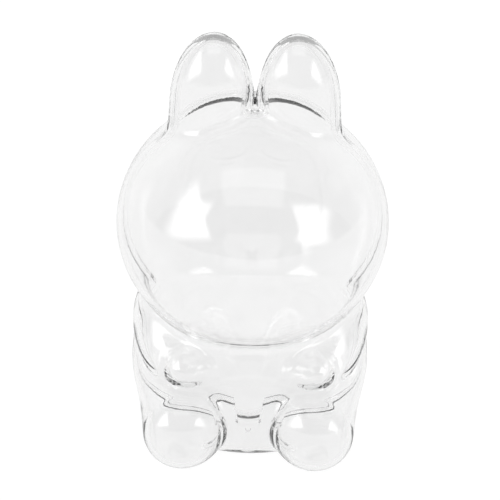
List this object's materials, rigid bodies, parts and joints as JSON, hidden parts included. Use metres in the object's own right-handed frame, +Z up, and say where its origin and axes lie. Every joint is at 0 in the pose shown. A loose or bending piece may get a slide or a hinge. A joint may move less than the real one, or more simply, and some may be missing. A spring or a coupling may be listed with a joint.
{
  "type": "rabbit-shaped clear plastic box",
  "caption": "Clear plastic box in the shape of a seated rabbit, in a front and a back shell that plug together on an upright seam and pull apart.",
  "frame": {"origin": "on the standing plane, at the middle of the base, on the seam between the shells", "axes": "+Z up, the rabbit faces -Y, +X is towards the rabbit's left side; the seam is y = 0"},
  "size_m": [0.0712, 0.07, 0.1132],
  "materials": {
    "clear_plastic": "clear, glossy, moulded"
  },
  "bodies": {
    "back_shell": {"back_shell": "clear_plastic"},
    "front_shell": {"front_shell": "clear_plastic"}
  },
  "joints": [
    {"name": "front_pull", "type": "slide", "parent": "back_shell", "child": "front_shell", "axis": [0, -1, 0], "range_m": [0, 0.05]}
  ]
}
